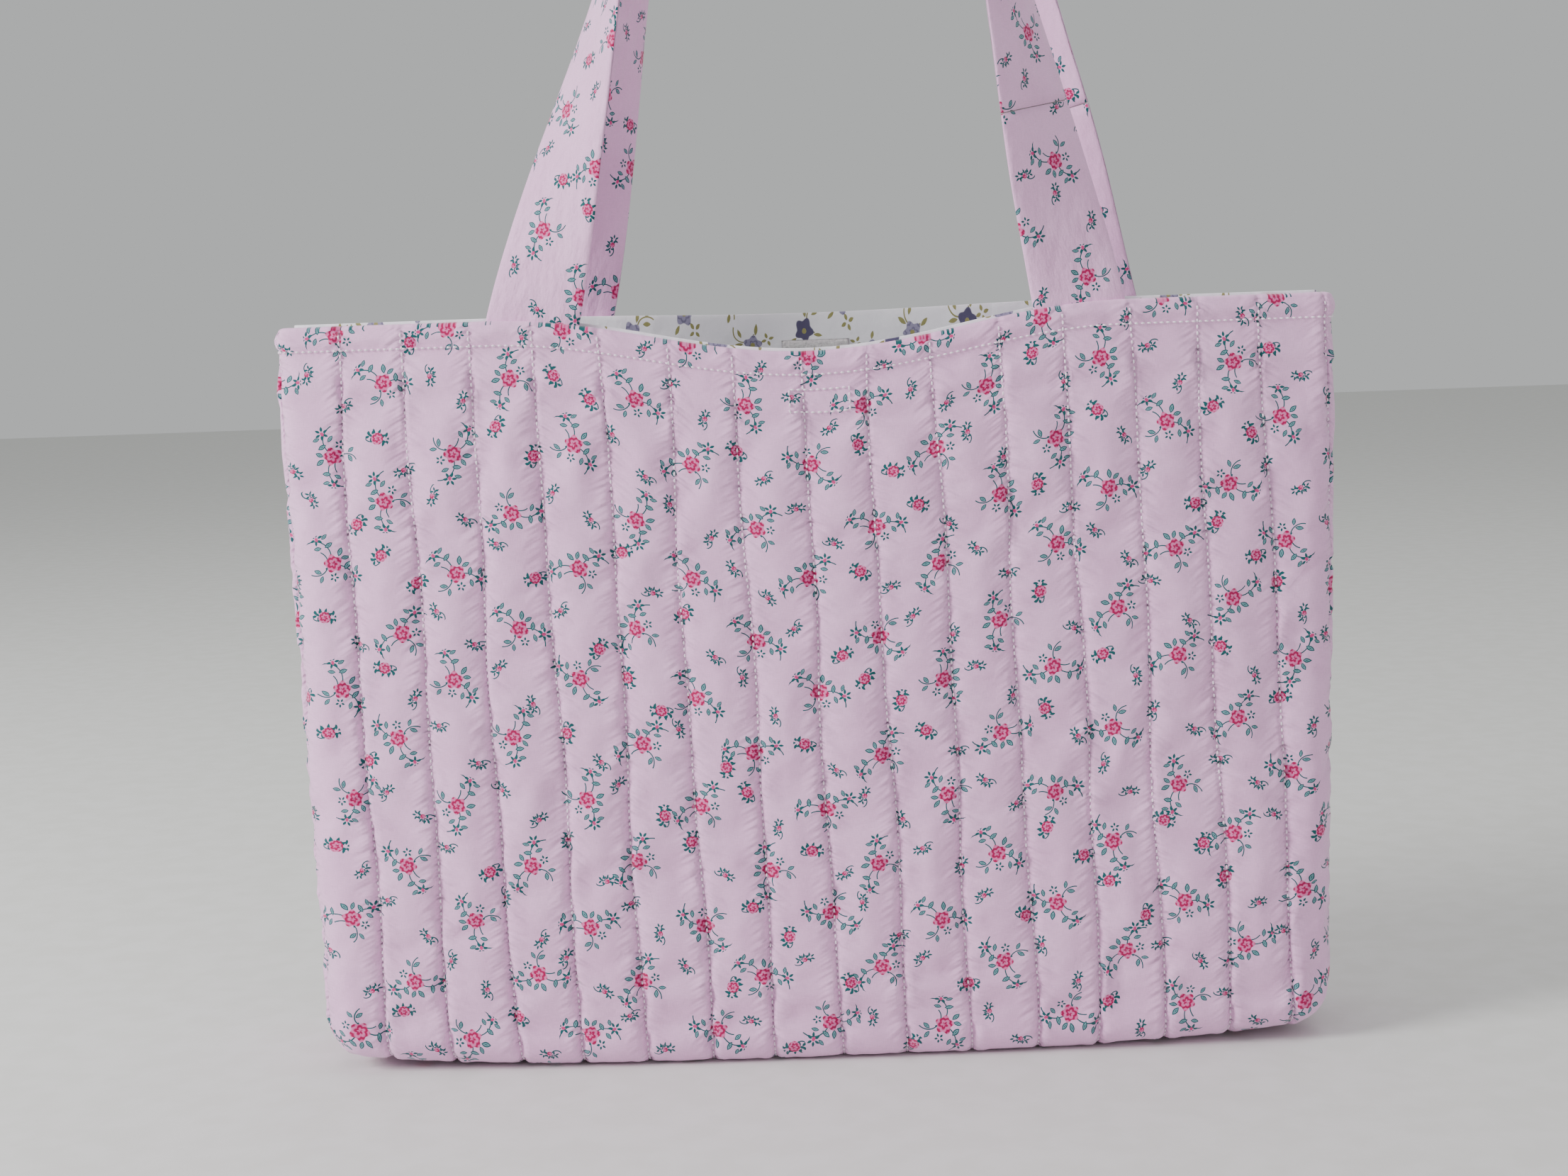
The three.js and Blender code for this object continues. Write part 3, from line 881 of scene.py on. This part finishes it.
def walk(path, step):
    """Evenly spaced places along a polyline, and the direction at each."""
    legs = np.diff(path, axis=0)
    lengths = np.linalg.norm(legs, axis=1)
    reached = np.concatenate([[0], np.cumsum(lengths)])
    spots = np.arange(step / 2, reached[-1], step)
    places = np.stack([np.interp(spots, reached, path[:, axis]) for axis in range(3)], axis=1)
    ahead = np.stack([np.interp(spots + step / 4, reached, path[:, axis]) for axis in range(3)], axis=1)
    behind = np.stack([np.interp(spots - step / 4, reached, path[:, axis]) for axis in range(3)], axis=1)
    along = ahead - behind
    return places, along / np.maximum(np.linalg.norm(along, axis=1, keepdims=True), 1e-9), spots, reached


def sew(name, paths, material):
    """Running stitches along each path. A path is its points and the cloth's outward direction at each."""
    vertices, faces = [], []
    for path, outward in paths:
        places, along, spots, reached = walk(path, STITCH_PITCH)
        up = np.stack([np.interp(spots, reached, outward[:, axis]) for axis in range(3)], axis=1)
        for place, direction, normal in zip(places, along, up):
            normal = normal - direction * np.dot(normal, direction)
            normal /= max(np.linalg.norm(normal), 1e-9)
            across = np.cross(direction, normal)
            start = len(vertices)
            for reach, girth, height in STITCH_RINGS:
                middle = place + direction * reach * STITCH_LENGTH / 2 + normal * height * THREAD_RADIUS
                for corner in range(STITCH_SIDES):
                    turn = 2 * math.pi * corner / STITCH_SIDES
                    offset = across * math.cos(turn) + normal * math.sin(turn)
                    vertices.append(middle + offset * THREAD_RADIUS * girth)
            faces += ring_faces(len(STITCH_RINGS), STITCH_SIDES, start)
            last = start + (len(STITCH_RINGS) - 1) * STITCH_SIDES
            faces.append(tuple(range(start + STITCH_SIDES - 1, start - 1, -1)))
            faces.append(tuple(range(last, last + STITCH_SIDES)))
    return face_outward(add_piece(name, vertices, faces, material))


def quilting_paths(puffed, outward):
    """The quilting lines run from the hem down the wall and on under the base."""
    rows = slice(1, int(np.argmax(ROWS > UNDER_START + UNDER_LENGTH / 2)))
    return [(puffed[rows, column], outward[rows, column]) for column in LINE_COLUMNS]


def hem_paths(puffed, outward):
    row = int(np.argmin(np.abs(ROWS - HEM)))
    return [(puffed[row], outward[row])]


def closure_rectangle_paths(puffed, cloth):
    """The rectangle of stitching that holds the closure patch on, seen on the outside of the front."""
    left, right = PATCH_SHIFT - PATCH_STITCHING[0] / 2, PATCH_SHIFT + PATCH_STITCHING[0] / 2
    bottom = PATCH_STITCHING_TOP + PATCH_STITCHING[1]
    corners = [(left, PATCH_STITCHING_TOP), (right, PATCH_STITCHING_TOP), (right, bottom), (left, bottom)]
    path = []
    for (x0, d0), (x1, d1) in zip(corners, corners[1:] + corners[:1]):
        for t in np.linspace(0, 1, 24, endpoint=False):
            path.append(surface_spot(puffed, cloth, lerp(x0, x1, t), lerp(d0, d1, t)))
    path.append(path[0])
    directions = np.tile((0.0, FRONT, 0.0), (len(path), 1))
    return [(np.array(path), directions)]


def surface_spot(points, cloth, across, down):
    """The grid's point at a place on the cloth, by linear interpolation."""
    row = np.interp(down, ROWS, np.arange(len(ROWS)))
    low = int(row)
    spots = []
    for i in (low, min(low + 1, len(ROWS) - 1)):
        spots.append([np.interp(across, cloth[i, :, 0], points[i, :, axis]) for axis in range(3)])
    return lerp(np.array(spots[0]), np.array(spots[1]), row - low)


# ---- The handles ----
LEG_LENGTH = (STRAP_SPACING - ARCH_RADIUS * math.cos(STRAP_LEAN)) / math.sin(STRAP_LEAN)
HANDLE_LENGTH = 2 * (LEG_LENGTH + ARCH_RADIUS * (math.pi / 2 - STRAP_LEAN))
ARCH_CENTRE = LEG_LENGTH * math.cos(STRAP_LEAN) - ARCH_RADIUS * math.sin(STRAP_LEAN)
JOIN_LENGTH = HANDLE_LENGTH - STRAP_JOIN / math.cos(STRAP_LEAN)
STRAP_OUTLINE = 28


def handle_line(length):
    """Place and direction on the strap's middle line in the handle's plane, a length from its left end."""
    from_end = min(length, HANDLE_LENGTH - length)
    mirror = -1 if length > HANDLE_LENGTH / 2 else 1
    angle = STRAP_LEAN + max(from_end - LEG_LENGTH, 0) / ARCH_RADIUS
    if from_end <= LEG_LENGTH:
        place = (from_end * math.sin(angle) - STRAP_SPACING, from_end * math.cos(angle))
    else:
        place = (-ARCH_RADIUS * math.cos(angle), ARCH_CENTRE + ARCH_RADIUS * math.sin(angle))
    return mirror * place[0], place[1], math.sin(angle), mirror * math.cos(angle)


def rim_depth(x):
    _, depth, _, _ = outline(np.array([x]), 1.0)
    return float(depth[0]) - STRAP_INSET


def strap_frame(side, length):
    """Centre, width direction and face direction of the strap at a length from its left end."""
    x, height, along_x, along_z = handle_line(length)
    from_end = max(min(length, HANDLE_LENGTH - length), 0)
    progress = math.sin(math.pi * from_end / HANDLE_LENGTH)
    left = length < HANDLE_LENGTH / 2
    turned = progress * (1 + STRAP_EARLY_TURN["left" if left else "right"] * (1 - progress**2))
    turn = lerp(STRAP_BASE_TURN, math.pi / 2, turned)
    direction = np.array((along_x, 0, along_z))
    face = np.array((-along_z * math.sin(turn), side * math.cos(turn), along_x * math.sin(turn)))
    bow = 4 * STRAP_BOW * progress**2 * (1 - progress**2) if left and side == FRONT else 0
    root = STRAP_SHIFT[side] + (-STRAP_SPACING if left else STRAP_SPACING)
    depth = lerp(rim_depth(root), STRAP_PEAK_Y, progress)
    drift = STRAP_SHIFT[side] + STRAP_DRIFT * height + bow
    centre = np.array((x + drift, side * depth, BAG_HEIGHT + height))
    return centre, np.cross(direction, face), face


def strap_grid(side, lengths, shrink):
    """Rings of a soft flat strap, and where each point lies on the cloth. shrink pulls the outline in."""
    rings, cloth = [], []
    for length in lengths:
        centre, across, face = strap_frame(side, length)
        drift = noise.noise(Vector((length / (60 * MM), side * 3.0, 0))) * 0.8 * MM
        swell = noise.noise(Vector((length / (35 * MM), side * 5.0, 4))) * 0.5 * MM
        half_width = STRAP_WIDTH / 2 + 0.5 * drift - shrink
        half_thickness = STRAP_THICKNESS / 2 - shrink
        ring, flat = [], []
        for corner in range(STRAP_OUTLINE):
            turn = 2 * math.pi * corner / STRAP_OUTLINE
            wide = np.sign(math.cos(turn)) * abs(math.cos(turn)) ** 0.7 * half_width
            ease = abs(math.sin(turn)) ** 0.75
            crease = 0.7 * MM * noise.noise(Vector((wide / (9 * MM), length / (26 * MM), side * 7.0)))
            thick = np.sign(math.sin(turn)) * ease * (half_thickness + ease * (crease + 0.3 * swell))
            ring.append(centre + across * (wide + drift) + face * thick)
            lap = wide + (STRAP_WIDTH if math.sin(turn) < 0 else 0)
            flat.append((length + CUT_FROM[side][0], lap))
        rings.append(ring)
        cloth.append(flat)
    return np.array(rings), np.array(cloth)


def strap_tube(name, side, start, end, material, outer=0.0, wall=0.8 * MM):
    """A length of turned strap: a flat tube of fabric. With no wall it is solid, for the interfacing."""
    lengths = np.linspace(start, end, max(int((end - start) / (4 * MM)), 3))
    outside, cloth = strap_grid(side, lengths, outer)
    count, around = outside.shape[:2]
    grids, flats = [outside], [cloth]
    if wall:
        inside, _ = strap_grid(side, lengths, outer + wall)
        grids.append(inside)
        flats.append(cloth)
    faces = []
    for layer in range(len(grids)):
        faces += ring_faces(count, around, layer * count * around)
    last = (count - 1) * around
    if wall:
        shell = count * around
        for row in (0, last):
            for j in range(around):
                k = (j + 1) % around
                faces.append((row + j, row + k, shell + row + k, shell + row + j))
    else:
        faces.append(tuple(range(around)))
        faces.append(tuple(range(last, last + around)))
    vertices = np.concatenate([grid.reshape(-1, 3) for grid in grids])
    flat = np.concatenate([grid.reshape(-1, 2) for grid in flats])
    return face_outward(add_piece(name, vertices, faces, material, flat))


def handle(side, cloth_material, core_material):
    """The two lengths of one handle and the interfacing inside them."""
    label = SIDES[side]
    seam = 0.2 * MM
    long_piece = strap_tube(f"strap_{label}_long", side, -STRAP_TAIL, JOIN_LENGTH - seam, cloth_material)
    short_piece = strap_tube(f"strap_{label}_short", side, JOIN_LENGTH + seam,
                             HANDLE_LENGTH + STRAP_TAIL, cloth_material)
    core = strap_tube(f"strap_{label}_interfacing", side, 2 * MM, HANDLE_LENGTH - 2 * MM, core_material,
                      outer=1.0 * MM, wall=0)
    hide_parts(f"handle_{label}_long", f"strap_end_{label}_left")
    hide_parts(f"handle_{label}_short", f"strap_end_{label}_right")
    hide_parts(f"handle_{label}_core")
    for piece, slot in ((long_piece, "strap_print"), (short_piece, "strap_print"), (core, "interfacing")):
        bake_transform(piece)


# ---- The closure ----
PATCH_NODES = {FRONT: "closure_hook_patch", BACK: "closure_loop_patch"}


def closure_patch(side, material):
    """A rounded slab of hook or loop tape with a rough pile, on the lining."""
    low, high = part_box(PATCH_NODES[side])
    centre = (low + high) / 2
    half = (high - low) / 2
    columns_count, rows_count = 40, 22
    slope = math.atan2(BASE_HALF_DEPTH - RIM_HALF_DEPTH, BAG_HEIGHT)
    vertices, faces = [], []
    thickness = 1.6 * MM
    for layer in (0, 1):
        for i in range(rows_count + 1):
            for j in range(columns_count + 1):
                u, v = lerp(-1, 1, j / columns_count), lerp(-1, 1, i / rows_count)
                edge = (1 - u**12) * (1 - v**10)
                pile = 0.25 * MM * noise.noise(Vector((u * 27, v * 13, side * 4.0)))
                depth = layer * (thickness * max(edge, 0) ** 0.3 + pile * edge) - thickness / 2
                x = centre.x + u * half.x
                z = centre.z + v * (half.z - thickness / 2)
                y = centre.y - side * (depth - math.tan(slope) * (centre.z - z))
                vertices.append((x, y, z))
    count = columns_count + 1
    shift = (rows_count + 1) * count
    for layer in (0, 1):
        faces += grid_faces(rows_count + 1, count, layer * shift)
    border = list(range(count))
    border += [i * count + count - 1 for i in range(1, rows_count + 1)]
    border += [rows_count * count + j for j in range(count - 2, -1, -1)]
    border += [i * count for i in range(rows_count - 1, 0, -1)]
    for a, b in zip(border, border[1:] + border[:1]):
        faces.append((a, b, b + shift, a + shift))
    patch = face_outward(add_piece(f"patch_{SIDES[side]}", vertices, faces, material))
    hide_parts(PATCH_NODES[side])
    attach(patch, "bag")


# ---- Assembly ----
def dress_bag():
    print_quilted = rose_cotton("rose_cotton_quilted", quilted=True)
    print_strap = rose_cotton("rose_cotton_strap", quilted=False, offset=(9, 4))
    print_lining = lining_cotton()
    thread = fibre_material("white_thread", srgb(255, 240, 253), srgb(250, 228, 247), 900, 0.0001)
    interfacing = fibre_material("interfacing", srgb(236, 234, 228), srgb(214, 211, 205), 400, 0.0003)
    wadding = fibre_material("wadding", srgb(243, 242, 238), srgb(222, 221, 216), 260, 0.001)
    hook = fibre_material("hook_tape", srgb(226, 224, 222), srgb(180, 178, 178), 1200, 0.0008)
    loop = fibre_material("loop_tape", srgb(238, 236, 234), srgb(205, 202, 202), 700, 0.0008)
    for side, label in SIDES.items():
        panel, puffed, outward, cloth = quilted_panel(side, print_quilted)
        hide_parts(f"outer_{label}")
        lining = lining_panel(side, print_lining)
        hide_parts(f"lining_{label}")
        quilting = sew(f"thread_quilting_{label}", quilting_paths(puffed, outward), thread)
        hem = sew(f"thread_hem_{label}", hem_paths(puffed, outward), thread)
        riding = [panel, lining, quilting, hem, wadding_panel(side, wadding)]
        if side == FRONT:
            riding.append(sew("thread_rectangle", closure_rectangle_paths(puffed, cloth), thread))
        for piece in riding:
            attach(piece, "bag")
        handle(side, print_strap, interfacing)
    closure_patch(FRONT, hook)
    closure_patch(BACK, loop)


# ---- Studio ----
CAMERA_TARGET = Vector((-12 * MM, -24 * MM, 185 * MM))
CAMERA_DISTANCE = 0.85
CAMERA_PITCH = math.radians(7)
CAMERA_ROLL = math.radians(-2)
FRAME_WIDTH = 0.607  # metres across the picture at the bag's front
SENSOR_WIDTH = 36  # millimetres, a full-frame camera
LIGHT_TARGET = Vector((0, 0, 0.2))
FLOOR_REACH = 6


def studio():
    corners = [(x * FLOOR_REACH, y * FLOOR_REACH, 0) for x, y in ((-1, -1), (1, -1), (1, 1), (-1, 1))]
    floor = add_piece("studio_floor", corners, [(0, 1, 2, 3)], paper_floor())
    floor.location.z = -0.5 * MM
    world = bpy.data.worlds.new("studio")
    world.use_nodes = True
    world.node_tree.nodes["Background"].inputs[0].default_value = srgb(214, 216, 216)
    world.node_tree.nodes["Background"].inputs[1].default_value = 0.75
    bpy.context.scene.world = world
    soft_light("window", (-1.7, -0.7, 1.1), 0.8, 46)
    soft_light("fill", (1.2, -1.6, 0.8), 1.4, 4)
    soft_light("above", (0.2, 0.4, 2.4), 2.4, 16)


def soft_light(name, place, size, power):
    data = bpy.data.lights.new(name, "AREA")
    data.shape = "DISK"
    data.size = size
    data.energy = power
    light = place_object(name, data)
    light.location = place
    light.rotation_euler = (LIGHT_TARGET - Vector(place)).to_track_quat("-Z", "Y").to_euler()


def photo_camera():
    data = bpy.data.cameras.new("camera")
    data.sensor_width = SENSOR_WIDTH
    data.lens = SENSOR_WIDTH * CAMERA_DISTANCE / FRAME_WIDTH
    camera = place_object("camera", data)
    back = Vector((0, -math.cos(CAMERA_PITCH), math.sin(CAMERA_PITCH)))
    camera.location = CAMERA_TARGET + back * CAMERA_DISTANCE
    camera.rotation_mode = "QUATERNION"
    roll = Quaternion(Vector((0, 0, 1)), CAMERA_ROLL)
    camera.rotation_quaternion = (-back).to_track_quat("-Z", "Y") @ roll
    bpy.context.scene.camera = camera


dress_bag()
studio()
photo_camera()
